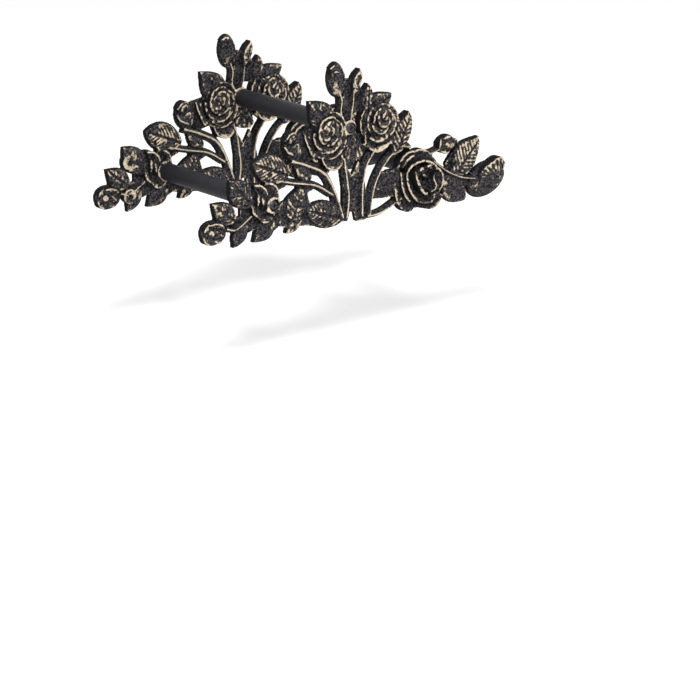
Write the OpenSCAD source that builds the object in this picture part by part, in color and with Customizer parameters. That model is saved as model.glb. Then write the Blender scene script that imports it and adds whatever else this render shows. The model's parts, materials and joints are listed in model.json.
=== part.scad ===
/* [Cast plates] */
// Overall width of each cast plate
plate_w = 332; // [316:4:348]
// Overall height of each cast plate
plate_h = 143; // [134:1:150]
// Thickness of the leaves at their edge
leaf_t = 5; // [4:0.5:7]
// Rise of a leaf's midrib over its edge
rib_rise = 2.5; // [1:0.5:4]
// Width of a stem
stem_w = 5.5; // [4.5:0.5:7]
// Height of a stem's crest over the plate's rear face
stem_h = 7; // [6:0.5:9]
// Height of a bud over the plate's rear face
bud_h = 13; // [10:1:16]
// Height of the largest rose over the plate's rear face
rose_h = 20; // [17:1:24]

/* [Bars] */
// Length of the three bars, which is the clear gap between the plates' seats
bar_len = 144; // [110:1:180]
// Diameter of a bar
bar_d = 16; // [13:0.5:18]
// Chamfer at a bar's ends
bar_chamfer = 1; // [0.5:0.25:2]
// Distance sideways between the axes of the left and right bars
bar_spread = 164; // [158:1:170]
// Distance that the left bar lies below the top one
bar_drop = 54; // [50:1:57]
// Distance that the right bar, in the heart of the largest rose, lies higher than the left one
right_lift = 6; // [2:1:8]
// Height of the seats and bosses that take the bars and their screws
seat_h = 8; // [7:0.5:10]
// Margin of a seat round its bar
seat_rim = 1; // [0.5:0.25:2]

/* [Bar screws] */
// Thread diameter of the six screws
screw_d = 5; // [4:0.5:6]
// Length that a screw reaches into its bar
screw_bite = 11; // [8:1:16]
// Depth of a bar's tapped bore
tap_depth = 14; // [12:1:20]
// Head diameter of the front, pan-head screws
pan_d = 9.5; // [8.5:0.25:10.5]
// Head height of the front, pan-head screws
pan_h = 3; // [2.5:0.25:3.5]
// Head diameter of the rear, countersunk screws
sunk_d = 9.5; // [8.5:0.25:11]
// Width of the cross recess across its arms
cross_w = 5; // [4:0.25:6]
// Depth of the cross recess
cross_t = 1.6; // [1:0.1:2]
// Gap between a screw and the holes that it goes through
screw_gap = 0.15; // [0.1:0.05:0.3]
// Wall of the ring that stands round a front screw's head
boss_wall = 1.6; // [1:0.1:2.5]

/* [Wall fixing] */
// Diameter of the four wall-screw holes
wall_hole_d = 5.5; // [4.5:0.5:6.5]
// Diameter of the flat pads round the wall-screw holes
wall_pad_d = 13; // [12:0.5:15]
// Thickness of those pads
wall_pad_t = 7; // [6:0.5:8]
// Distance between the hole columns
wall_spread = 240; // [236:2:246]
// Distance between the hole rows
wall_rise = 30; // [28:1:31]
// Distance from the top bar's axis down to the middle of the wall holes
wall_drop = 56; // [55:0.5:57]

/* [Hidden] */
$fn = 48;

iron = "#34353c";
steel = "#1c1c20";

// The rear face of the back plate lies on the wall at y = 0, and its wall holes are centred on the origin
front_y = -(seat_h + bar_len);
top_at = [0, 0];
left_at = [-bar_spread / 2, -bar_drop];
right_at = [bar_spread / 2, right_lift - bar_drop];
bars_at = [top_at, left_at, right_at];
wall_at = [for (sx = [-1, 1], sy = [-1, 1]) [sx * wall_spread / 2, sy * wall_rise / 2 - wall_drop]];
sunk_t = (sunk_d - screw_d) / 2;
well_d = pan_d + 2 * screw_gap;
boss_d = well_d + 2 * boss_wall;
pocket_z = seat_h - pan_h;
seat_d = bar_d + 2 * seat_rim;
// A cut that goes through is this much longer at each end
past = 1;
// Cuts that open to the front clear all of the relief
clear_h = rose_h + past;

// A leaf's widest place lies nearer its base below 1, and its sides are fuller below 1
leaf_belly = 1;
leaf_fullness = 0.65;
leaf_tip = 0.8;
// Share of its half width by which a leaf's edge is notched between its teeth
leaf_notch = 0.14;
// Share of a stem's half width and of its height at which its flanks bend
stem_flank = [0.85, 0.62];
// Share of a bud's width that is left at its ends
bud_tip = 0.12;
// Width of a petal's lip, the share of its reach and rise that its ends keep, and its overlap on the next petal
lip_w = 1;
petal_ends = [0.55, 0.5];
petal_lap = 1.25;
// Share of a petal's spread at which its rim's swell begins, and a ring's turn against the ring outside it
swell_from = 0.12;
ring_turn = 0.4;
// The heart of a rose is a cone, [height, foot, top], and its ground a disc, [height, radius], as shares of the rose
heart_cone = [0.86, 0.3, 0.14];
ground_disc = [0.35, 0.7];
// Share of a pan head's height that stands straight, and the width of its flat top as a share of its diameter
pan_side = 0.6;
pan_top = 0.7;

// A leaf is [base, tip, width, sway of its spine, height of its edge]
leaves = [
    [[-119, -63], [-143, -44], 20, 1, leaf_t],
    [[-101, -53], [-124, -28], 22, 1, leaf_t],
    [[-108, -65], [-121, -85], 16, 0, leaf_t],
    [[-79, -66], [-101, -84], 20, 2, leaf_t],
    [[-63, -33], [-98, -15], 24, -1, leaf_t],
    [[-50, -70], [-67, -82], 12, 0, leaf_t],
    [[-4, -78], [-49, -62], 24, 1, leaf_t],
    [[-62, -72], [-46, -43], 25, 2, leaf_t],
    [[-39, -41], [-55, -26], 14, 1, leaf_t],
    [[-15, -1], [-41, 28], 26, -1, leaf_t],
    [[10, -30], [6, -6], 20, 0, leaf_t],
    [[17, 2], [22, 35], 13, 0, leaf_t + 1],
    [[22, 9], [47, 24], 21, 2, leaf_t + 1],
    [[50, -31], [64, 5], 17, -1, leaf_t + 3],
    [[64, -53], [26, -58], 24, 0, leaf_t],
    [[116, -59], [146, -28], 29, -1, leaf_t + 1],
    [[107, -60], [130, -85], 20, -1, leaf_t],
    [[4, 26], [10, 50], 10, 0, leaf_t + 1]
];

// A stem is the list of points that its crest goes through
stems = [
    [[-62, -20], [-46, -26], [-27, -38], [-16, -57], [-7, -78]],
    [[-78, -34], [-60, -39], [-36, -45], [-18, -56]],
    [[-6, -26], [-3, -44], [-1, -62], [-3, -79]],
    [[27, -24], [18, -37], [14, -58], [14, -80]],
    [[68, -27], [54, -26], [38, -38], [27, -56], [22, -80]],
    [[20, -79], [36, -78], [58, -69]],
    [[98, -44], [114, -55], [140, -66]],
    [[84, -34], [92, -33], [104, -31]],
    [[-130, -67], [-120, -69], [-104, -60]],
    [[-10, 32], [-8, 16], [-4, 4]],
    [[8, 38], [5, 20], [3, 4]]
];

// A bud is [centre, half length, half width, turn, height]
buds = [
    [[-141, -69], 14, 10, 165, bud_h - 3],
    [[-58, -9], 14, 10, 110, bud_h - 3],
    [[-13, 43], 15, 8, 97, bud_h - 4],
    [[-19, -23], 14, 12, -75, bud_h - 3],
    [[158, -68], 19, 18, 0, bud_h - 1]
];

// A ring of petals is [inner share of the radius, outer share, petals, low share of the height, high share]
open_rings = [[0.5, 1, 5, 0.3, 0.5], [0.3, 0.72, 4, 0.5, 0.76], [0.12, 0.44, 3, 0.66, 1]];
shut_rings = [[0.4, 1, 4, 0.35, 0.65], [0.14, 0.6, 3, 0.6, 1]];

// A rose is [centre, radius, heart, height, rings of petals]
roses = [
    [[-88, -51], 18, [-92, -48], rose_h - 7, open_rings],
    [[-23, -4], 19, [-28, 2], rose_h - 4, open_rings],
    [[34, -4], 21, [33, 5], rose_h - 4, open_rings],
    [[79, -55], 29, [76.5, -50.3], rose_h, open_rings],
    [[-58, -5], 10, [-59, -1], bud_h, shut_rings],
    [[108, -31], 9, [107, -30], bud_h, shut_rings]
];

// Plain stretches of the casting between the ornaments
webs = [
    [[-124, -62], [-113, -60], [-113, -50], [-108, -38], [-100, -36], [-82, -35], [-88, -66], [-98, -73],
        [-106, -73], [-120, -69]],
    [[-84, -64], [-78, -62], [-69, -54], [-44, -46], [-43, -60], [-8, -79], [-26, -80], [-52, -78], [-73, -75],
        [-82, -73]],
    [[-52, 2], [-34, 5], [-34, -22], [-48, -25], [-58, -20]],
    [[-14, 6], [6, 6], [8, -6], [18, -8], [18, -30], [-4, -26], [-14, -20]],
    [[-8, 4], [5, 4], [11, 40], [-4, 42]],
    [[-2, -34], [8, -45], [17, -38], [27, -82], [17, -84], [9, -83], [7, -74], [3, -74], [0, -82], [-5, -82]],
    [[106, -60], [122, -63], [142, -62], [146, -80], [130, -75], [106, -74]],
    [[110, -38], [118, -40], [132, -58], [142, -62], [112, -56], [100, -50], [104, -45]]
];

function turned(v) = [-v.y, v.x];
function unit(v) = v / norm(v);
function raised(p, z) = [p.x, p.y, z];
function bend(a, b, c, t) = (1 - t) * (1 - t) * a + 2 * t * (1 - t) * b + t * t * c;

// A point on a smooth curve through p[k] and p[k + 1]
function curve(p, k, t) = let (
    a = p[max(k - 1, 0)], b = p[k], c = p[k + 1], d = p[min(k + 2, len(p) - 1)])
    (2 * b + (c - a) * t + (2 * a - 5 * b + 4 * c - d) * t * t + (3 * b - a - 3 * c + d) * t * t * t) / 2;

// A closed skin through rings of equally many points
module skin(rings) {
    n = len(rings[0]);
    last = len(rings) - 1;
    sides = [for (k = [0:last - 1], i = [0:n - 1]) let (j = (i + 1) % n)
        each [[k * n + i, k * n + j, k * n + n + i], [k * n + j, k * n + n + j, k * n + n + i]]];
    polyhedron([for (ring = rings) each ring],
        concat([[for (i = [n - 1:-1:0]) i]], sides, [[for (i = [0:n - 1]) last * n + i]]));
}

// Across a ridge: a flat foot, two flanks and a crest
function ridge(at, across, half, height) = [
    for (s = [[-1, 0], [-stem_flank[0], stem_flank[1]], [0, 1], stem_flank, [1, 0]])
        raised(at + across * half * s[0], height * s[1])];

module leaf(base, tip, width, sway, edge) {
    steps = 6;
    across = turned(unit(tip - base));
    middle = (base + tip) / 2 + across * sway;
    high = edge + rib_rise;
    skin([for (i = [0:steps]) let (
        t = i / steps,
        at = bend(base, middle, tip, t),
        swell = width / 2 * pow(sin(180 * pow(t, leaf_belly)), leaf_fullness),
        half = max(leaf_tip, swell * (i % 2 == 0 ? 1 : 1 - leaf_notch)))
        [raised(at - across * half, 0), raised(at - across * half, edge),
            raised(at, high), raised(at + across * half, edge), raised(at + across * half, 0)]]);
}

module stem(path) {
    parts = 2;
    spots = concat([for (k = [0:len(path) - 2], i = [0:parts - 1]) curve(path, k, i / parts)],
        [path[len(path) - 1]]);
    last = len(spots) - 1;
    skin([for (k = [0:last])
        ridge(spots[k], turned(unit(spots[min(k + 1, last)] - spots[max(k - 1, 0)])), stem_w / 2, stem_h)]);
}

module bud(centre, long, short, turn, height) {
    steps = 6;
    along = [cos(turn), sin(turn)];
    across = turned(along);
    skin([for (i = [0:steps]) let (
        a = -180 + 180 * i / steps,
        swell = max(bud_tip, -sin(a)))
        [for (b = [0:36:180])
            raised(centre + along * long * cos(a) - across * short * swell * cos(b),
                height * sqrt(swell) * sin(b))]]);
}

// One petal of a rose: a lip that rises to its rim and falls inwards to the next petals
module petal(centre, inner, outer, start, spread, low, high) {
    steps = 4;
    skin([for (i = [0:steps]) let (
        t = i / steps,
        a = start + spread * t,
        out = [cos(a), sin(a)],
        swell = sin(180 * (swell_from + (1 - 2 * swell_from) * t)),
        rim = inner + (outer - inner) * (petal_ends[0] + (1 - petal_ends[0]) * swell),
        top = low + (high - low) * (petal_ends[1] + (1 - petal_ends[1]) * swell))
        [raised(centre + out * rim, 0), raised(centre + out * (rim - lip_w), top),
            raised(centre + out * inner, low), raised(centre + out * inner, 0)]]);
}

module rose(centre, radius, heart, height, rings) {
    for (k = [0:len(rings) - 1]) let (ring = rings[k], at = centre + (heart - centre) * k / (len(rings) - 1))
        for (i = [0:ring[2] - 1])
            petal(at, radius * ring[0], radius * ring[1], (i + ring_turn * k) * 360 / ring[2],
                petal_lap * 360 / ring[2], height * ring[3], height * ring[4]);
    translate(heart)
        cylinder(h = height * heart_cone[0], r1 = radius * heart_cone[1], r2 = radius * heart_cone[2], $fn = 8);
    translate(centre)
        cylinder(h = height * ground_disc[0], r = radius * ground_disc[1], $fn = 12);
}

// The ornament both plates share, drawn round the top bar's axis and brought to the plate's size
module ornament() {
    resize([plate_w, plate_h, 0]) {
        for (l = leaves) leaf(l[0], l[1], l[2], l[3], l[4]);
        for (s = stems) stem(s);
        for (b = buds) bud(b[0], b[1], b[2], b[3], b[4]);
        for (r = roses) rose(r[0], r[1], r[2], r[3], r[4]);
        for (w = webs) linear_extrude(leaf_t - 1) polygon(w);
    }
}

// Stands a plate's drawing up, so that its height is along Z and its relief faces -Y
module stand_up(y) {
    translate([0, y, wall_drop]) rotate([90, 0, 0]) children();
}

module front_plate() {
    color(iron) stand_up(front_y) difference() {
        union() {
            ornament();
            for (p = bars_at) translate(p) cylinder(h = seat_h, d = boss_d);
        }
        for (p = bars_at) translate(p) {
            translate([0, 0, -past]) cylinder(h = seat_h + 2 * past, d = screw_d + 2 * screw_gap);
            translate([0, 0, pocket_z]) cylinder(h = clear_h, d = well_d);
        }
    }
}

module back_plate() {
    color(iron) stand_up(0) difference() {
        union() {
            ornament();
            for (p = bars_at) translate(p) cylinder(h = seat_h, d = seat_d);
            for (p = wall_at) translate(p) cylinder(h = wall_pad_t, d = wall_pad_d);
        }
        for (p = bars_at) translate(p) {
            translate([0, 0, seat_h]) cylinder(h = clear_h, d = seat_d);
            translate([0, 0, -past]) cylinder(h = seat_h + 2 * past, d = screw_d + 2 * screw_gap);
            cylinder(h = sunk_t, d1 = sunk_d + 2 * screw_gap, d2 = screw_d);
        }
        for (p = wall_at) translate(p) {
            translate([0, 0, -past]) cylinder(h = wall_pad_t + 2 * past, d = wall_hole_d);
            translate([0, 0, wall_pad_t]) cylinder(h = clear_h, d = wall_pad_d);
        }
    }
}

module bar(at) {
    end_d = bar_d - 2 * bar_chamfer;
    color(iron) stand_up(0) translate(raised(at, seat_h)) difference() {
        union() {
            cylinder(h = bar_chamfer, d1 = end_d, d2 = bar_d);
            translate([0, 0, bar_chamfer]) cylinder(h = bar_len - 2 * bar_chamfer, d = bar_d);
            translate([0, 0, bar_len - bar_chamfer]) cylinder(h = bar_chamfer, d1 = bar_d, d2 = end_d);
        }
        translate([0, 0, -past]) cylinder(h = tap_depth + past, d = screw_d);
        translate([0, 0, bar_len - tap_depth]) cylinder(h = tap_depth + past, d = screw_d);
    }
}

module cross_recess(depth) {
    arm = cross_w / 4;
    for (turn = [0, 90]) rotate(turn)
        translate([-cross_w / 2, -arm / 2, -depth]) cube([cross_w, arm, depth + past]);
}

module front_screw(at) {
    shank = pocket_z + screw_bite;
    side_h = pan_h * pan_side;
    color(steel) stand_up(front_y) translate(raised(at, pocket_z)) difference() {
        union() {
            cylinder(h = side_h, d = pan_d);
            translate([0, 0, side_h]) cylinder(h = pan_h - side_h, d1 = pan_d, d2 = pan_d * pan_top);
            translate([0, 0, -shank]) cylinder(h = shank + side_h, d = screw_d);
        }
        translate([0, 0, pan_h]) cross_recess(cross_t);
    }
}

module rear_screw(at) {
    color(steel) stand_up(0) translate(at) difference() {
        union() {
            cylinder(h = sunk_t, d1 = sunk_d, d2 = screw_d);
            cylinder(h = seat_h + screw_bite, d = screw_d);
        }
        rotate([180, 0, 0]) cross_recess(cross_t);
    }
}

front_plate();
back_plate();
bar(top_at);  // top_bar
bar(left_at);  // left_bar
bar(right_at);  // right_bar
front_screw(top_at);  // top_front_screw
front_screw(left_at);  // left_front_screw
front_screw(right_at);  // right_front_screw
rear_screw(top_at);  // top_rear_screw
rear_screw(left_at);  // left_rear_screw
rear_screw(right_at);  // right_rear_screw
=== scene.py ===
# A wall-mounted holder of cast iron: two openwork plates of roses and leaves, joined by three bars.
import json
import math

import bpy
import numpy as np
from mathutils import Matrix, Vector


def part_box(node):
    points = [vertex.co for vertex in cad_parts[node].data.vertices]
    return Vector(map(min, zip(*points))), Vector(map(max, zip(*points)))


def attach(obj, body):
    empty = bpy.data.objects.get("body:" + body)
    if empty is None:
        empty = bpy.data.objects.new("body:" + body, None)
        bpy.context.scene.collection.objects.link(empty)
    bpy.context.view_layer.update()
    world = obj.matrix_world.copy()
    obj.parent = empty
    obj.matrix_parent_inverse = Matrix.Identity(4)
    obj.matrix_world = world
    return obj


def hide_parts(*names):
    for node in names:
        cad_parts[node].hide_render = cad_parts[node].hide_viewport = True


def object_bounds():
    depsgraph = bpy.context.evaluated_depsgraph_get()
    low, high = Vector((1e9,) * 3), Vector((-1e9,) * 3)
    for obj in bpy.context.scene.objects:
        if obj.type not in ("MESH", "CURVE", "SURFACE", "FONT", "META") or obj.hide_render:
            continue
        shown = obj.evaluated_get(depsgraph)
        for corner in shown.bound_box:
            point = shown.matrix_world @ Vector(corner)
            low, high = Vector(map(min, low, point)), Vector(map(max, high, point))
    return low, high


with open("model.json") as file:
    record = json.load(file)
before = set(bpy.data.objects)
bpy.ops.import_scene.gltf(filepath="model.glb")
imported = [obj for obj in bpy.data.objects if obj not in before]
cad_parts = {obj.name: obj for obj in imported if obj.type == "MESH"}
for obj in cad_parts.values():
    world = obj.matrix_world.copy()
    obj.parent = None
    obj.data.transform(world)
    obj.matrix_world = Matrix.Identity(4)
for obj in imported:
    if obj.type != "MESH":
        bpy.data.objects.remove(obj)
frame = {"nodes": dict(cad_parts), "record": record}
cad_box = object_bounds()

MM = 0.001

# The plates are drawn flat, in millimetres: x to the right and y up, both from the top bar's axis. Their
# relief rises along z from the plate's rear face.
front_low, front_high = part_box("front_plate")
back_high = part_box("back_plate")[1]
bar_boxes = [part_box(name) for name in ("top_bar", "left_bar", "right_bar")]
bar_axes = [(low + high) / 2 for low, high in bar_boxes]
origin_z = bar_axes[0].z
bars_at = [(axis.x / MM, (axis.z - origin_z) / MM) for axis in bar_axes]
bar_r = (bar_boxes[0][1].x - bar_boxes[0][0].x) / 2 / MM
seat_h = (back_high.y - bar_boxes[0][1].y) / MM
wall = frame["record"]["mounts"][0]["dims"]
wall_at = [(sx * wall["spacing_x_mm"] / 2, sy * wall["spacing_y_mm"] / 2 - origin_z / MM)
           for sx in (-1, 1) for sy in (-1, 1)]

GRAIN = 0.8          # spacing of a relief's points
VOXEL = 0.55         # size to which the joined relief is cast
FACES = 188000       # triangles of a plate before it is drilled
CREASE = math.radians(50)

BORE_R = 2.65        # clearance bores of the bar screws
CUT_LOW = -1         # cuts that open to the rear start at this height
CUT_HIGH = 40        # and those that open to the front end at this one

# Each leaf: base, tip, width, sway of the midrib, height of the edge, and the spacing, slant and height of
# its veins. A blunt tip has its share of the width last.
LEAVES = [
    [(-119, -63), (-142.5, -44.5), 21.5, 1, 5, 4.2, 48, 1.3],
    [(-101, -53), (-124.5, -27.5), 23.5, 1, 5, 4.2, 48, 1.3, 1.2],
    [(-108, -65), (-121.5, -85.3), 16, 0, 5, 2.6, 70, 0.4],
    [(-79, -66), (-101, -84), 20, 2, 5, 3.0, 70, 0.4],
    [(-63, -33), (-101, -17), 26, -1, 5, 4.2, 45, 2.0, 2.2],
    [(-50, -70), (-67, -82), 12, 0, 5, 4.0, 50, 0.5],
    [(-4, -79), (-48, -64), 25, 1, 5, 4.2, 50, 1.6],
    [(-63, -73), (-50, -43), 25, -1, 5, 4.4, 60, 1.5],
    [(-39, -39), (-57, -26), 13, 1, 5, 4.4, 50, 0.4],
    [(-16, -1), (-41.5, 27.5), 27, -1, 5, 4.4, 50, 1.1],
    [(19, 10), (21, 35), 14, 0, 6, 4.4, 50, 1.0],
    [(22, 7), (47, 23), 22, 2, 6, 4.0, 60, 0.8],
    [(47, -31), (65, 5), 20, -1, 8, 4.6, 50, 2.1],
    [(64, -53), (27, -58), 23, 0, 5, 5.0, 50, 0.4],
    [(115, -60), (146, -29), 30, -1, 6, 4.0, 55, 2.0],
    [(105, -60), (132.5, -84.5), 25, -1, 5, 2.6, 65, 0.8, 1.2],
    [(4, 28), (12, 49), 10, 0, 7, 4.0, 35, 0.9],
]

# Each stem: the points that its crest goes through, width, height
STEMS = [
    [[(-62, -20), (-46, -26), (-26, -37), (-14.5, -57), (-7, -78)], 8, 8],
    [[(-78, -34), (-60, -39), (-36, -45), (-18, -56)], 6.5, 8],
    [[(-6, -26), (-3, -44), (-1, -62), (-3, -79)], 7, 8],
    [[(27, -24), (18, -37), (14, -58), (14, -80)], 7, 8],
    [[(68, -27), (54, -26), (38, -38), (27, -56), (22, -80)], 6.5, 8],
    [[(20, -81), (36, -80), (58, -71)], 6.5, 7],
    [[(92, -43), (104, -52), (114, -58), (126, -63), (140, -66)], 5.5, 9],
    [[(84, -36), (92, -36), (102, -34)], 5.5, 7.5],
    [[(-130, -67), (-120, -69), (-104, -60)], 6, 8],
    [[(-11, 32), (-8, 24), (-9, 14), (-5, 5)], 5, 7.5],
    [[(5, 34), (4, 20), (2, 10), (1, 5)], 5, 7.5],
]

# Each bud: centre, half length, half width, turn in degrees, height
BUDS = [
    [(-141, -69.5), 13.5, 11, 165, 7],
    [(-58, -9), 13, 10.5, 110, 8],
    [(-11.5, 42), 15.5, 9.5, 97, 8],
    [(109, -31), 11, 8.5, 0, 9],
    [(156, -70), 22, 16, 12, 10],
]

# The plain ground between the ornaments: outline, height
GROUND = [
    [[(-124, -62), (-118, -60.5), (-113.5, -59.5), (-113.5, -52), (-111, -42), (-100, -36), (-88, -40),
      (-88, -67), (-98, -73), (-105, -75), (-112, -70), (-122, -68)], 4],
    [[(-88, -64), (-78, -62), (-69, -54), (-50, -53), (-43, -51), (-40, -60), (-8, -80), (-20, -82),
      (-35, -81), (-45, -79), (-52, -78), (-62, -78), (-73, -75), (-78, -77.5), (-83, -79.5),
      (-88, -80)], 4],
    [[(-52, 2), (-34, 5), (-34, -22), (-48, -25), (-58, -20)], 4],
    [[(-14, 2), (4, -6), (14, -8), (16, -26), (-4, -26), (-14, -20)], 4],
    [[(-8, 4), (3, 4), (8, 40), (-3, 42)], 4],
    [[(3, 13), (17, 11), (17, 26), (13, 34), (8, 36)], 4.5],
    [[(-5, -28), (5, -43), (12, -31), (18, -46), (26, -82), (18, -84.5), (9, -84), (7, -75), (3, -75),
      (0, -82.5), (-5, -82)], 4],
    [[(106, -60), (122, -63), (140, -66), (130, -75), (106, -74)], 4],
    [[(116, -40), (122, -42), (132, -58), (140, -62), (112, -56), (109, -49)], 4],
    [[(-90, -34), (-76, -33), (-66, -39), (-67, -41.5), (-73.6, -43.2), (-76, -50), (-86, -52)], 5],
    [[(-56, -42), (-40, -45), (-35, -47.5), (-43, -51), (-50, -53)], 4.5],
    [[(30, -48), (36, -45), (50, -46), (52, -68), (40, -68.5), (27, -67)], 5],
    [[(96, -49), (108, -54), (112, -62), (98, -62)], 5],
]

# Broad spots where more of the colour is rubbed on, or less: middle, radius, amount
RUBBED = [
    [(-19, -29), 9, 0.85], [(32, -21), 12, 0.75], [(-62, -8), 9, 0.35], [(-92, -66), 5, 0.4],
    [(-148, -66), 8, 0.4], [(107, -28), 9, 0.4], [(60, -70), 6, 0.2], [(-84, -25), 17, 0.4],
    [(158, -60), 12, 0.3], [(-38, 10), 8, 0.4], [(52, -6), 12, 0.35], [(131, -44), 17, 0.4],
    [(62, -34), 9, 0.5], [(-25, -1), 17, 0.2], [(33, 3), 17, 0.2], [(102, -60), 9, 0.45],
    [(57, -60), 11, 0.35], [(75, -64), 7, 0.55], [(82, -84), 15, -0.8], [(150, -78), 17, -0.9],
    [(39, -57), 12, -0.7], [(50, -64), 6, 0.6], [(-95, -78), 15, -0.5], [(-118, -78), 13, -0.4],
    [(-36, 18), 9, -0.25], [(-14, 46), 13, -0.25], [(8, -62), 9, -0.5], [(118, -74), 14, -0.3],
    [(-110, -40), 13, -0.2], [(-91, -50), 9, -0.2], [(56, -82), 9, -0.7],
]

# Round ground under three of the roses: middle, height, radius
BEDS = [
    [(80, -55), 7, 20],
    [(-90, -51), 5, 13],
    [(-23, -4), 5, 14],
]

# Each whorl of petals: centre, heart, radius, height, turn in degrees
WHORLS = [
    [(-23, -4), (-30, 2), 19, 16, 20],
    [(31, -2), (33, 6), 20, 16, 80],
]

# Each single petal: points of the rim, foot, height of the rim, height of the foot, and ribs if it has any
PETALS = [
    # outer left bud
    [[(-153, -67), (-152, -62), (-147, -60)], (-146, -67), 9, 6],
    [[(-148, -61), (-141, -60), (-135, -62), (-131, -66)], (-142, -69), 9.5, 6],
    [[(-145, -66), (-139, -67), (-135, -71), (-130, -72)], (-141, -75), 10, 6],
    [[(-154, -70), (-152, -76), (-146, -79)], (-146, -69), 8, 5],
    [[(-145, -74), (-139, -78), (-132, -76)], (-139, -69), 8.5, 5.5],
    [[(-150, -67), (-147, -65), (-144, -68), (-145, -72)], (-149, -71), 10.5, 7],
    # left rose
    [[(-90, -33), (-83, -35), (-79, -39), (-77.5, -44), (-76, -51), (-75, -60)], (-92, -52), 11, 6],
    [[(-104, -33), (-97, -34), (-91, -40), (-89, -47)], (-97, -46), 13, 8],
    [[(-100, -39), (-102, -46), (-100, -53)], (-93, -46), 13.5, 8],
    [[(-104, -42), (-106, -50), (-104, -58), (-98, -63)], (-94, -50), 10, 6],
    [[(-97, -42), (-98, -48), (-95, -54)], (-90, -47), 14.5, 9],
    [[(-100, -60), (-93, -68), (-85, -67), (-78, -61)], (-90, -54), 9, 5.5],
    [[(-90, -58), (-84, -61), (-77, -58)], (-86, -52), 10.5, 6],
    # left bud of the middle group
    [[(-69, -7), (-67, -12), (-62, -15), (-57, -17), (-54, -21)], (-60, -6), 9, 5],
    [[(-69, -2), (-66, 3), (-61, 5), (-56, 3)], (-60, -6), 9.5, 6],
    [[(-67, -4), (-66, 1), (-62, 3), (-58, 0)], (-62, -5), 12, 8],
    [[(-64, -10), (-60, -5), (-56, -6), (-55, -13)], (-60, -11), 11, 7],
    # middle rose
    [[(-49, 3), (-48, -5), (-45, -12), (-42, -18), (-37, -22)], (-33, -8), 9.5, 5],
    [[(-38, -9), (-34, -17), (-28, -21), (-22, -22)], (-26, -6), 9.5, 6],
    [[(-31, -21), (-26, -31), (-17, -35), (-9, -32), (-6, -22)], (-20, -12), 9, 5],
    [[(-23, -17), (-16, -16), (-11, -11), (-10, -4)], (-24, -4), 11, 7],
    [[(-10, -20), (-4, -17), (2, -12), (5, -6)], (-14, -6), 8, 4.5],
    [[(-6, -22), (-2, -27), (4, -29), (12, -29), (16, -24)], (5, -8), 7, 5, 5],
    # right upper rose
    [[(24, -8), (29, -14), (37, -15), (45, -11), (49, -6)], (34, 2), 11, 7],
    [[(16, -15), (21, -22), (29, -26), (38, -24), (47, -18), (51, -12)], (33, -4), 9.5, 5],
    [[(17, 16), (14.5, 5), (14.5, -7), (17, -18)], (26, -2), 10, 6],
    # large rose
    [[(69, -42), (65.5, -47), (65, -53), (67, -59), (71, -65), (76.5, -69.5), (82, -70)], (78, -56), 19, 9],
    [[(91, -51), (87, -56), (89, -61), (89, -66), (85.5, -70)], (78, -60), 18, 9],
    [[(60, -47.5), (62, -42), (68, -39), (76, -38), (85, -41), (91, -45), (95, -50.5)], (76, -54), 16, 8],
    [[(95, -47), (99, -54), (99, -62), (95, -70), (88, -74)], (80, -56), 15, 8],
    [[(55.5, -43), (57.5, -37), (63.5, -33.5), (71, -32.5)], (76, -50), 13.3, 8],
    [[(61, -44), (59.5, -51), (59.5, -58), (62, -65), (66, -71), (72, -76), (80, -78.5), (88, -79),
      (94, -75)], (78, -58), 13.5, 8],
    [[(55, -47), (54, -55), (55, -62), (59, -70), (66, -76)], (74, -56), 11.5, 7],
    [[(49, -54), (49, -62), (51, -73), (58, -82), (67, -84.5), (72, -82)], (70, -58), 9, 5.5],
    [[(62, -84), (73, -82), (82, -84), (91, -86), (99, -84), (106, -76)], (80, -60), 8, 5],
    [[(52, -44), (55, -36), (61, -31), (69, -30), (74, -34)], (68, -46), 10, 6],
    [[(70, -31), (78, -30), (86, -33), (93, -38)], (76, -46), 9, 5.5],
    # heart of the large rose
    [[(66, -50), (67.5, -44.5), (72, -43.5), (75, -49)], (71, -53), 20, 13],
    [[(76, -46), (79, -43), (84, -43.5), (87, -48)], (81, -52), 18, 11],
    [[(75, -52), (79, -55), (84, -54.5)], (80, -48), 15.5, 10],
    # upper right bud
    [[(99, -35), (98, -29), (101, -25)], (106, -31), 10, 6],
    [[(101, -25), (107, -22.5), (114, -24)], (107, -32), 10.5, 7],
    [[(112, -25), (118, -27), (121, -32)], (110, -32), 10, 6],
    [[(101, -30), (105, -28), (108, -31), (106, -35)], (104, -33), 12, 8],
    [[(100, -36), (106, -39), (112, -38)], (106, -31), 9.5, 6],
    # top bud
    [[(-20, 53), (-16, 56), (-11, 54), (-6, 47), (-5, 38), (-7, 30)], (-15, 41), 8.5, 6],
    [[(-20, 48), (-16, 51), (-12, 49), (-9, 44), (-8, 38), (-10, 32)], (-16, 41), 10, 7],
    # right end
    [[(143, -66), (145, -61), (150, -57), (157, -54), (165, -50.5), (171, -51.5), (174.5, -59)], (166, -71),
     12, 9, 8],
]


def deselect():
    bpy.ops.object.select_all(action="DESELECT")


def pick(*obs):
    """Selects these pieces alone, the first as the active one."""
    deselect()
    for ob in obs:
        ob.select_set(True)
    bpy.context.view_layer.objects.active = obs[0]


def open_mesh():
    """Opens the new piece in edit mode, with all of it selected."""
    bpy.ops.object.mode_set(mode="EDIT")
    bpy.ops.mesh.select_all(action="SELECT")


def close_mesh():
    """Turns all its faces outwards and leaves edit mode."""
    bpy.ops.mesh.select_all(action="SELECT")
    bpy.ops.mesh.normals_make_consistent(inside=False)
    bpy.ops.object.mode_set(mode="OBJECT")


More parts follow.
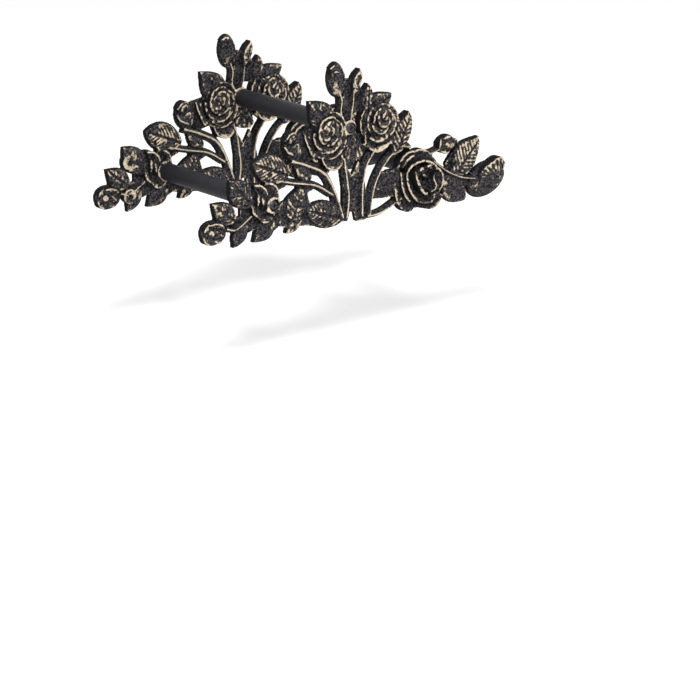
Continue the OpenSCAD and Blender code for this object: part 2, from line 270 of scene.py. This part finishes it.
def apply(ob, kind, **settings):
    """Adds a modifier with these settings and applies it."""
    pick(ob)
    modifier = ob.modifiers.new(kind.title(), kind)
    for key, value in settings.items():
        setattr(modifier, key, value)
    bpy.ops.object.modifier_apply(modifier=modifier.name)


def join(name, parts):
    pick(*parts)
    bpy.ops.object.join()
    ob = bpy.context.object
    ob.name = ob.data.name = name
    return ob


def copies(parts):
    pick(*parts)
    bpy.ops.object.duplicate()
    return list(bpy.context.selected_objects)


def paint(ob, mat):
    ob.data.materials.clear()
    ob.data.materials.append(mat)


def get_points(mesh, field="co"):
    flat = np.empty(len(mesh.vertices) * 3)
    mesh.vertices.foreach_get(field, flat)
    return flat.reshape(-1, 3)


def limited(values):
    return np.clip(values, 0, 1)


def column(values):
    return np.asarray(values)[:, None]


def turned(v):
    """A direction, turned a quarter to the left."""
    return np.array([-v[1], v[0]])


def curve(points, u):
    """A smooth line through the points, where u runs from 0 to 1."""
    p = np.array(points, float)
    p = np.vstack([2 * p[0] - p[1], p, 2 * p[-1] - p[-2]])
    share = limited(u) * (len(points) - 1)
    k = np.minimum(share.astype(int), len(points) - 2)
    t = column(share - k)
    a, b, c, d = p[k], p[k + 1], p[k + 2], p[k + 3]
    slope = (c - a) * t
    bend = (2 * a - 5 * b + 4 * c - d) * t ** 2
    return (2 * b + slope + bend + (3 * b - a - 3 * c + d) * t ** 3) / 2


def course(points, u):
    """The direction of that line."""
    step, shortest = 0.01, 1e-9
    ahead = curve(points, u + step) - curve(points, u - step)
    return ahead / column(np.maximum(np.linalg.norm(ahead, axis=1), shortest))


def run(points):
    """The length of the straight steps from point to point."""
    return np.linalg.norm(np.diff(np.array(points, float), axis=0), axis=1).sum()


def ridges(phase):
    """Rounded ridges with narrow valleys between them, one for each whole step of the phase."""
    roundness = 0.8
    return np.abs(np.sin(np.pi * phase)) ** roundness


def relief(name, length, width, place):
    """A closed block with a flat foot. Its top is at place(u, v), for u from 0 to 1 and v from -1 to 1."""
    fewest = 4
    deselect()
    bpy.ops.mesh.primitive_grid_add(x_subdivisions=max(fewest, round(length / GRAIN)),
                                    y_subdivisions=max(fewest, round(width / GRAIN)), size=2)
    ob = bpy.context.object
    ob.name = name
    flat = get_points(ob.data)
    xy, z = place((flat[:, 0] + 1) / 2, flat[:, 1])
    ob.data.vertices.foreach_set("co", np.column_stack([xy, z]).ravel())
    open_mesh()
    bpy.ops.mesh.extrude_region_move(TRANSFORM_OT_translate={"value": (0, 0, -1)})
    bpy.ops.transform.resize(value=(1, 1, 0), center_override=(0, 0, 0))
    close_mesh()
    return ob


def leaf(base, tip, width, sway, edge, pitch, slant, vein_h, taper=0.9):
    """A leaf with slanted veins, a grooved midrib, toothed edges and a crown along its middle."""
    belly, fullness, blend = 1.05, 0.62, 4
    tooth, least_half = 0.05, 0.4
    vein_fade, end_fade, margin = 6, 2.5, 0.02
    crown_h, crown_bow = 2.0, 1.6
    groove_h, groove_w = 0.9, 0.8
    rolled_h, rolled_part = 1.5, 8
    tiny = 1e-6
    base = np.array(base, float)
    tip = np.array(tip, float)
    length = np.linalg.norm(tip - base)
    along = (tip - base) / length
    middle = (base + tip) / 2 + turned(along) * sway

    def place(u, v):
        side = np.abs(v)
        full = np.maximum(np.sin(np.pi * u ** belly), tiny) ** fullness
        pointed = np.maximum(1 - u, tiny) * length * taper / (width / 2)
        half = width / 2 * (full ** -blend + pointed ** -blend) ** (-1 / blend)
        reach = half / math.tan(math.radians(slant))
        phase = (u * length - side * reach) / pitch
        half = np.maximum(half * (1 + tooth * (phase % 1 - 0.5) * side ** 2), least_half)
        t = column(u)
        midrib = (1 - t) ** 2 * base + 2 * t * (1 - t) * middle + t ** 2 * tip
        ends = limited(np.sin(np.pi * np.clip(u, margin, 1 - margin)) * end_fade)
        veins = vein_h * ridges(phase) * limited(side * vein_fade) * limited((1 - side) * vein_fade) * ends
        crown = crown_h * (1 - side ** crown_bow) * ends
        groove = groove_h * np.exp(-(v * half / groove_w) ** 2)
        rolled = rolled_h * limited(side * rolled_part - (rolled_part - 1)) ** 2
        return midrib + column(v * half) * turned(along), edge + veins + crown - groove - rolled

    return relief("leaf", length, width, place)


def stem(points, width, height):
    """A stem with a narrow crest and hollow flanks."""
    flank, bow, crest_h, crest_w = 0.35, 0.2, 0.45, 0.48
    edge, edge_fade = 0.35, 5
    density = 1.6

    def place(u, v):
        ahead = course(points, u)
        across = np.column_stack([-ahead[:, 1], ahead[:, 0]])
        side = np.abs(v)
        crest = np.exp(-(side / crest_w) ** 2)
        section = flank + bow * (1 - side ** 2) + crest_h * crest
        z = height * section * limited((1 - side) * edge_fade + edge)
        return curve(points, u) + across * column(v * width / 2), z

    return relief("stem", run(points), width * density, place)


def bud(centre, long, short, turn, height):
    """A rounded swelling with faint lengthwise folds."""
    folds, fold_h, skew = 2.5, 0.35, 0.6
    fold_rise, fold_low = 2, 0.6
    edge, density = 0.02, 1.3
    ahead = np.array([math.cos(math.radians(turn)), math.sin(math.radians(turn))])

    def place(u, v):
        x = -np.cos(np.pi * u)
        y = np.sin(v * np.pi / 2)
        swell = np.sqrt(np.maximum(1 - x ** 2, 0))
        z = height * np.sqrt(swell) * np.sqrt(np.maximum(1 - y ** 2, edge))
        fade = limited(z / height * fold_rise - fold_low)
        z = z + fold_h * ridges(folds * (y + x * skew)) * swell * fade
        xy = np.array(centre) + column(long * x) * ahead + column(short * swell * y) * turned(ahead)
        return xy, z

    return relief("bud", long * 2, short * 2 * density, place)


def petal(rim, foot, high, low, ribs=0, ends=0.68):
    """A petal: a rolled lip along its rim, and a hollow that falls to its foot. It may be ribbed."""
    lip, lip_drop = 0.9 + 0.07 * high, 0.15
    bow, hollow = 0.6, 1.3
    ripple_h, ripple = 0.7, 5.5
    fold_h, fold_w, fold_at = 2.0, 0.7, lip + 1.9
    rib_h, rib_level = 2.2, 0.7
    thinnest = 0.5
    crowding, density, longest = 1.7, 1.3, 16
    foot = np.array(foot, float)
    length = run(rim)

    def place(u, v):
        t = ((v + 1) / 2) ** crowding
        line = curve(rim, u)
        inward = foot - line
        d = np.linalg.norm(inward, axis=1) * t
        edge = 1 - lip_drop + lip_drop * np.sin(np.pi / 2 * np.minimum(d / lip, 1))
        rise = edge * np.exp(-np.maximum(d - lip, 0) / hollow)
        swell = ends + (1 - ends) * np.sin(np.pi * limited(u)) ** bow
        wave = 0.5 + 0.5 * np.sin(2 * np.pi * u * length / ripple + rim[0][0])
        crest = high * swell - ripple_h * wave
        fold = fold_h * np.exp(-((d - fold_at) / fold_w) ** 2) * np.sin(np.pi * limited(u * 1.2 - 0.1))
        z = low + (crest - low) * rise + fold
        if ribs:
            z = np.maximum(z, low + (high - low) * rib_level * edge)
            z = z - rib_h * (1 - ridges(u * ribs)) * (1 - t)
        return line + inward * column(t), np.maximum(z, thinnest)

    depth = min(run([rim[len(rim) // 2], foot]), longest)
    return relief("petal", length, depth * density, place)


def arc(centre, radius, start, spread):
    """Points along a petal's rim, which bows out in its middle and tucks in at its end."""
    bow, tuck = 0.09, 0.24
    points = []
    for share in (0, 0.2, 0.4, 0.6, 0.8, 1):
        angle = math.radians(start + spread * share)
        reach = radius * (1 + bow * math.sin(math.pi * share) + tuck * (0.5 - share))
        points.append((centre[0] + reach * math.cos(angle), centre[1] + reach * math.sin(angle)))
    return points


def whorl(centre, heart, radius, height, turn):
    """Rings of overlapping petals that climb and close towards the heart."""
    # Each ring from the outside: share of the radius, petals, share of the height
    rings = [(1.0, 3, 0.55), (0.76, 4, 0.76), (0.55, 3, 0.88), (0.36, 3, 0.95), (0.18, 2, 1.0)]
    ring_turn, stagger, dip = 0.43, 0.2, 0.07
    around, depth, ends = 410, 4.0, 0.8
    parts = []
    for k, (share, count, high) in enumerate(rings):
        move = k / (len(rings) - 1)
        at = (centre[0] + (heart[0] - centre[0]) * move, centre[1] + (heart[1] - centre[1]) * move)
        for i in range(count):
            start = turn + 360 * (i + ring_turn * k + stagger * (i % 2)) / count
            top = height * high * (1 - dip * (i % 2))
            rim = arc(at, radius * share, start, around / count)
            parts.append(petal(rim, at, top, top - depth, ends=ends))
    return parts


def ground(points, height):
    """A plain stretch of the casting with this outline."""
    deselect()
    bpy.ops.mesh.primitive_circle_add(vertices=len(points), fill_type="NGON")
    ob = bpy.context.object
    ob.name = "ground"
    for vertex, (x, y) in zip(ob.data.vertices, points):
        vertex.co = (x, y, height)
    open_mesh()
    bpy.ops.mesh.extrude_region_move(TRANSFORM_OT_translate={"value": (0, 0, -height)})
    close_mesh()
    return ob


def turned_block(at, profile):
    """A round block through the profile's [height, radius] steps, from the lowest up."""
    sides = 64
    height, radius = profile[0]
    deselect()
    bpy.ops.mesh.primitive_circle_add(vertices=sides, radius=radius, fill_type="NGON",
                                      location=(*at, height))
    ob = bpy.context.object
    bpy.ops.object.transform_apply(location=True, rotation=True, scale=True)
    open_mesh()
    for next_height, next_radius in profile[1:]:
        share = next_radius / radius
        bpy.ops.mesh.extrude_region_move(TRANSFORM_OT_translate={"value": (0, 0, next_height - height)})
        bpy.ops.transform.resize(value=(share, share, 1), center_override=(*at, next_height))
        height, radius = next_height, next_radius
    close_mesh()
    return ob


def ornament_parts():
    """The leaves, stems, buds and roses that both plates share."""
    parts = [leaf(*row) for row in LEAVES]
    parts += [stem(*row) for row in STEMS]
    parts += [bud(*row) for row in BUDS]
    parts += [ground(*row) for row in GROUND]
    parts += [petal(*row) for row in PETALS]
    for row in WHORLS:
        parts += whorl(*row)
    parts += [turned_block(at, [(0, radius), (height, radius)]) for at, height, radius in BEDS]
    return parts


def cast(name, parts):
    """The parts made one body, as it comes out of the sand."""
    ob = join(name, parts)
    apply(ob, "REMESH", mode="VOXEL", voxel_size=VOXEL, adaptivity=0)
    apply(ob, "SMOOTH", factor=0.5, iterations=2)
    apply(ob, "DECIMATE", ratio=min(1, FACES / (2 * len(ob.data.polygons))))
    return ob


def fit_to(ob, low, high):
    """Brings a plate's drawing to the width and height of its solid, by a hair's breadth."""
    spare = 0.002
    points = get_points(ob.data)
    lowest, highest = points.min(axis=0), points.max(axis=0)
    wide, tall, deep = (high.x - low.x) / MM, (high.z - low.z) / MM, (high.y - low.y) / MM
    scale = [wide / (highest[0] - lowest[0]), tall / (highest[1] - lowest[1]), 1]
    near = np.array([low.x / MM, (low.z - origin_z) / MM, 0])
    far = np.array([high.x / MM, (high.z - origin_z) / MM, deep])
    points = (points - [lowest[0], lowest[1], 0]) * scale + near
    points = np.clip(points, near + [spare, spare, 0], far - spare)
    ob.data.vertices.foreach_set("co", points.ravel())


def cut(ob, tools):
    """Takes all the tools away from the piece at once. They don't overlap each other."""
    tool = join("tool", tools)
    apply(ob, "BOOLEAN", object=tool, operation="DIFFERENCE", solver="MANIFOLD")
    bpy.data.objects.remove(tool, do_unlink=True)


def smoothed(mesh, values, rounds):
    """The values of the points, each made the mean of its neighbours a number of times."""
    count = len(mesh.vertices)
    ends = np.empty(len(mesh.edges) * 2, np.int32)
    mesh.edges.foreach_get("vertices", ends)
    a, b = ends.reshape(-1, 2).T
    neighbours = np.maximum(np.bincount(np.r_[a, b], minlength=count), 1)
    for _ in range(rounds):
        values = (np.bincount(a, values[b], count) + np.bincount(b, values[a], count)) / neighbours
    return values


def along_stems(points):
    """1 on the crests of the stems, and 0 beside them."""
    crest_part, reach, level, depth = 0.28, 1.3, 1.5, 2
    on_stem = np.zeros(len(points))
    for line, width, top in STEMS:
        above = limited(level - np.abs(points[:, 2] - top) / depth)
        for at in curve(line, np.linspace(0, 1, round(run(line)))):
            away = np.linalg.norm(points[:, :2] - at, axis=1) / (crest_part * width)
            on_stem = np.maximum(on_stem, limited(reach - away) * above)
    return on_stem


def mark_crests(ob):
    """Stores how sharply each point stands over its surroundings, and a low value where it faces aside."""
    # The fine and the broad crests: rounds of smoothing, height of a full crest, weight
    scales = [(12, 0.45, 0.75), (40, 1.5, 0.45)]
    last_rounds = 2
    spot_edge = 1.4
    bare_r, bare = 9, -0.35
    on_stems = 0.6
    aside, turning = 0.15, 0.5
    # Faces turned aside get a very low value: no bronze there, and painted shade, near black, in the paint.
    # Rear faces get a milder one.
    beside, behind = -2.0, -0.4
    mesh = ob.data
    points = get_points(mesh)
    height = points[:, 2]
    crest = np.zeros(len(height))
    for rounds, full, weight in scales:
        crest += np.clip((height - smoothed(mesh, height, rounds)) / full, -1, 1) * weight
    crest = smoothed(mesh, crest, last_rounds)
    for middle, radius, amount in RUBBED + [[at, bare_r, bare] for at in bars_at]:
        away = np.linalg.norm(points[:, :2] - middle, axis=1) / radius
        crest += amount * limited(spot_edge - away * spot_edge)
    crest += on_stems * along_stems(points)
    upward = get_points(mesh, "normal")[:, 2]
    front = limited((upward - aside) / turning)
    rear = limited(-(upward + aside) / turning)
    crest = crest * front + behind * rear + beside * (1 - front - rear)
    mesh.attributes.new("crest", "FLOAT", "POINT").data.foreach_set("value", crest)


def stand_up(ob, y):
    """Stands a drawing up as the plates stand: its height along Z, and its relief towards -Y."""
    place = Matrix.Translation((0, y, origin_z))
    ob.data.transform(place @ Matrix.Rotation(math.pi / 2, 4, "X") @ Matrix.Scale(MM, 4))
    ob.data.update()


def plate(name, node, parts, tools, y):
    """One cast plate: cast, brought to its size, drilled, stood up and painted."""
    ob = cast(name, parts)
    fit_to(ob, front_low, front_high)
    cut(ob, tools)
    apply(ob, "TRIANGULATE")
    mark_crests(ob)
    stand_up(ob, y)
    pick(ob)
    bpy.ops.object.shade_smooth_by_angle(angle=CREASE)
    paint(ob, cast_iron)
    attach(ob, "root")
    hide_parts(node)


def front_plate(parts):
    """It has a boss over each bar, with a well for the screw's head and a bore below it."""
    well_r, boss_r, well_foot = 4.9, 6.5, seat_h - 3
    parts += [turned_block(at, [(0, boss_r), (seat_h, boss_r)]) for at in bars_at]
    well = [(CUT_LOW, BORE_R), (well_foot, BORE_R), (well_foot, well_r), (CUT_HIGH, well_r)]
    tools = [turned_block(at, well) for at in bars_at]
    plate("front_casting", "front_plate", parts, tools, front_high.y)


def back_plate(parts):
    """It has a seat for each bar, sunk from the rear for its screw, and four wall holes with flat pads."""
    seat_r, sunk_r, pad_r, pad_h = bar_r + 1, 4.9, 6.5, 7
    hole_r = wall["hole_r_mm"]
    parts += [turned_block(at, [(0, seat_r), (seat_h, seat_r)]) for at in bars_at]
    parts += [turned_block(at, [(0, pad_r), (pad_h, pad_r)]) for at in wall_at]
    seat = [(CUT_LOW, sunk_r - CUT_LOW), (sunk_r - BORE_R, BORE_R), (seat_h, BORE_R), (seat_h, seat_r),
            (CUT_HIGH, seat_r)]
    hole = [(CUT_LOW, hole_r), (pad_h, hole_r), (pad_h, pad_r), (CUT_HIGH, pad_r)]
    tools = [turned_block(at, seat) for at in bars_at] + [turned_block(at, hole) for at in wall_at]
    plate("back_casting", "back_plate", parts, tools, back_high.y)


# Materials

def node_group(name, inputs, outputs):
    """An effect with a place and these values as its inputs, and values as its outputs."""
    group = bpy.data.node_groups.new(name, "ShaderNodeTree")
    group.interface.new_socket("Place", in_out="INPUT", socket_type="NodeSocketVector")
    for label, value in inputs.items():
        socket = group.interface.new_socket(label, in_out="INPUT", socket_type="NodeSocketFloat")
        socket.default_value = value
    for label in outputs:
        group.interface.new_socket(label, in_out="OUTPUT", socket_type="NodeSocketFloat")
    start = group.nodes.new("NodeGroupInput")
    end = group.nodes.new("NodeGroupOutput")
    return group, start.outputs, end


def connect(tree, socket, value):
    """Links another node's output to the socket, or sets a plain value there."""
    if isinstance(value, bpy.types.NodeSocket):
        tree.links.new(value, socket)
    else:
        socket.default_value = value


def fill(tree, node, values):
    for key, value in values.items():
        connect(tree, node.inputs[key], value)


def add(tree, kind, values=None, **settings):
    node = tree.nodes.new(kind)
    for key, value in settings.items():
        setattr(node, key, value)
    fill(tree, node, values or {})
    return node


def noise(tree, place, scale, detail, roughness):
    return add(tree, "ShaderNodeTexNoise", {"Vector": place, "Scale": scale, "Detail": detail,
                                            "Roughness": roughness}).outputs["Fac"]


def maths(tree, operation, first, second):
    return add(tree, "ShaderNodeMath", {0: first, 1: second}, operation=operation).outputs[0]


def ranged(tree, value, low, high, to_low=0.0, to_high=1.0, **settings):
    """The value, brought from one range to another."""
    node = add(tree, "ShaderNodeMapRange", {"Value": value, "From Min": low, "From Max": high,
                                            "To Min": to_low, "To Max": to_high}, **settings)
    return node.outputs["Result"]


def mixed(tree, factor, first, second):
    """The first colour, with the second over it where the factor is high."""
    node = add(tree, "ShaderNodeMix", data_type="RGBA")
    for key, kind, value in (("Factor", "VALUE", factor), ("A", "RGBA", first), ("B", "RGBA", second)):
        connect(tree, next(s for s in node.inputs if s.name == key and s.type == kind), value)
    return next(s for s in node.outputs if s.type == "RGBA")


def bumped(tree, height, strength, distance):
    node = add(tree, "ShaderNodeBump", {"Height": height, "Strength": strength, "Distance": distance})
    return node.outputs["Normal"]


def cast_grain():
    """Sand-cast skin: fine grains and broad unevenness."""
    group, given, end = node_group("Cast grain", {"Grain": 900.0, "Swell": 120.0},
                                   ["Height", "Grains", "Mottle"])
    fine = noise(group, given["Place"], given["Grain"], 3.0, 0.6)
    broad = noise(group, given["Place"], given["Swell"], 4.0, 0.5)
    height = maths(group, "ADD", maths(group, "MULTIPLY", fine, 0.8), broad)
    fill(group, end, {"Height": height, "Grains": fine, "Mottle": broad})
    return group


def dry_brush():
    """Where a nearly dry brush leaves its colour: on sharp crests, in broken patches."""
    group, given, end = node_group(
        "Dry brush", {"Crest": 0.0, "Grains": 0.5, "From": 0.2, "To": 0.7, "Patches": 210.0}, ["Mask"])
    patches = noise(group, given["Place"], given["Patches"], 4.0, 0.6)
    broken = ranged(group, patches, 0.34, 0.66, -0.9, 0.35)
    specks = ranged(group, given["Grains"], 0.3, 0.7, -0.3, 0.3)
    crest = maths(group, "ADD", maths(group, "ADD", given["Crest"], broken), specks)
    mask = ranged(group, crest, given["From"], given["To"], interpolation_type="SMOOTHSTEP")
    fill(group, end, {"Mask": mask})
    return group


def grained(name, grain_scale, swell_scale):
    """A material with the cast grain in it."""
    mat = bpy.data.materials.new(name)
    mat.use_nodes = True
    tree = mat.node_tree
    place = add(tree, "ShaderNodeTexCoord").outputs["Object"]
    grain = add(tree, "ShaderNodeGroup", node_tree=grain_group)
    fill(tree, grain, {"Place": place, "Grain": grain_scale, "Swell": swell_scale})
    return mat, tree, place, grain.outputs


def cast_iron_paint():
    """Charcoal paint with painted shade in the hollows and on the flanks, and bronze rubbed over the
    crests.
    """
    # The first colour is near black: painted shade in the hollows and on the flanks, and the dark grains.
    painted_shade_and_grain_black, charcoal = (0.004, 0.004, 0.005, 1), (0.098, 0.092, 0.099, 1)
    brown, dull, pale = (0.05, 0.042, 0.036, 1), (0.27, 0.21, 0.145, 1), (0.70, 0.59, 0.445, 1)
    mat, tree, place, grain = grained("charcoal_and_bronze", 560, 240)
    stored = add(tree, "ShaderNodeAttribute", attribute_name="crest", attribute_type="GEOMETRY")
    crest = stored.outputs["Fac"]
    brush = add(tree, "ShaderNodeGroup", node_tree=brush_group)
    fill(tree, brush, {"Place": place, "Crest": crest, "Grains": grain["Grains"], "From": 0.2, "To": 0.85})
    mask = brush.outputs["Mask"]
    # Painted shade: where the crest value is low, in the hollows and on faces turned aside, the charcoal
    # falls to near black; grains break it up.
    out_of_painted_shade = ranged(tree, crest, -2.0, 0.2, 0.05, 1.0)
    grain_and_painted_shade_mix = maths(tree, "MULTIPLY", out_of_painted_shade, ranged(tree, grain["Grains"], 0.42, 0.62))
    dark = mixed(tree, grain_and_painted_shade_mix, painted_shade_and_grain_black, charcoal)
    bronze = add(tree, "ShaderNodeValToRGB", {"Fac": mask})
    ramp = bronze.color_ramp.elements
    ramp[0].color = brown
    ramp[1].color = pale
    ramp.new(0.5).color = dull
    uneven = ranged(tree, grain["Mottle"], 0.3, 0.7, -0.1, 0.1)
    sooty = ranged(tree, crest, -1.6, 0.4, 0.9, 0.48)
    fill(tree, tree.nodes["Principled BSDF"], {
        "Base Color": mixed(tree, ranged(tree, mask, 0.0, 0.35), dark, bronze.outputs["Color"]),
        "Roughness": maths(tree, "ADD", uneven, sooty),
        "Metallic": maths(tree, "MULTIPLY", mask, 0.4),
        "Specular IOR Level": 0.12,
        "Normal": bumped(tree, grain["Height"], 1.0, 0.003)})
    return mat


def bar_paint():
    """Plain charcoal paint, a little smoother than the castings'."""
    mat, tree, _, grain = grained("bar_charcoal", 1300, 90)
    fill(tree, tree.nodes["Principled BSDF"], {
        "Base Color": mixed(tree, grain["Mottle"], (0.007, 0.007, 0.009, 1), (0.022, 0.022, 0.027, 1)),
        "Roughness": 0.5,
        "Specular IOR Level": 0.2,
        "Normal": bumped(tree, grain["Height"], 0.6, 0.0006)})
    return mat


def screw_steel():
    """Blackened steel."""
    mat, tree, _, grain = grained("blackened_steel", 2500, 500)
    fill(tree, tree.nodes["Principled BSDF"], {
        "Base Color": mixed(tree, grain["Mottle"], (0.03, 0.031, 0.036, 1), (0.09, 0.09, 0.10, 1)),
        "Metallic": 0.8,
        "Roughness": 0.38,
        "Normal": bumped(tree, grain["Height"], 0.1, 0.0002)})
    return mat


# The studio

def pale_floor():
    """A white floor that glows a little to the camera, and keeps the shadow."""
    size, gap, glow = 8, 0.12, 0.35
    deselect()
    bpy.ops.mesh.primitive_plane_add(size=size, location=(0, 0, cad_box[0][2] - gap))
    floor = bpy.context.object
    floor.name = "floor"
    mat = bpy.data.materials.new("pale_floor")
    mat.use_nodes = True
    tree = mat.node_tree
    seen = add(tree, "ShaderNodeLightPath").outputs["Is Camera Ray"]
    fill(tree, tree.nodes["Principled BSDF"], {
        "Base Color": (0.9, 0.9, 0.9, 1),
        "Roughness": 0.9,
        "Emission Color": (1, 1, 1, 1),
        "Emission Strength": maths(tree, "MULTIPLY", seen, glow)})
    paint(floor, mat)


def white_world():
    """White to the camera and in reflections, and a plain light at half that strength."""
    world = bpy.data.worlds.new("studio")
    world.use_nodes = True
    tree = world.node_tree
    path = add(tree, "ShaderNodeLightPath").outputs
    clear = maths(tree, "MAXIMUM", path["Is Camera Ray"], path["Is Glossy Ray"])
    fill(tree, tree.nodes["Background"], {
        "Color": (1, 1, 1, 1),
        "Strength": ranged(tree, clear, 0.0, 1.0, 0.5, 1.0)})
    bpy.context.scene.world = world


def lamp(name, at, size, watts):
    aim = Vector((0, -0.1, 0.04))
    data = bpy.data.lights.new(name, "AREA")
    data.size = size
    data.energy = watts
    ob = bpy.data.objects.new(name, data)
    bpy.context.collection.objects.link(ob)
    ob.location = at
    ob.rotation_euler = (aim - Vector(at)).to_track_quat("-Z", "Y").to_euler()


def camera():
    """It looks at the holder from the left and a little from above."""
    at = (-1.5498, -2.0738, 0.6245)
    yaw, pitch = math.radians(38.98), math.radians(-17.23)
    focal, film, farthest = 154.3, 36, 20
    data = bpy.data.cameras.new("camera")
    data.sensor_width = film
    data.lens = focal
    data.clip_end = farthest
    ob = bpy.data.objects.new("camera", data)
    bpy.context.collection.objects.link(ob)
    look = Vector((math.sin(yaw) * math.cos(pitch), math.cos(yaw) * math.cos(pitch), math.sin(pitch)))
    ob.location = at
    ob.rotation_euler = look.to_track_quat("-Z", "Y").to_euler()
    bpy.context.scene.camera = ob


grain_group = cast_grain()
brush_group = dry_brush()
cast_iron = cast_iron_paint()
bar_black = bar_paint()
screw_black = screw_steel()

drawing = ornament_parts()
back_drawing = copies(drawing)
front_plate(drawing)
back_plate(back_drawing)
for name, ob in frame["nodes"].items():
    if name.endswith("_bar"):
        paint(ob, bar_black)
    if name.endswith("_screw"):
        paint(ob, screw_black)

camera()
pale_floor()
white_world()
lamp("key", (-0.9, -1.3, 1.7), 0.5, 46)
lamp("fill", (1.2, -1.4, 0.6), 0.9, 6)
bpy.context.scene.view_settings.view_transform = "Standard"
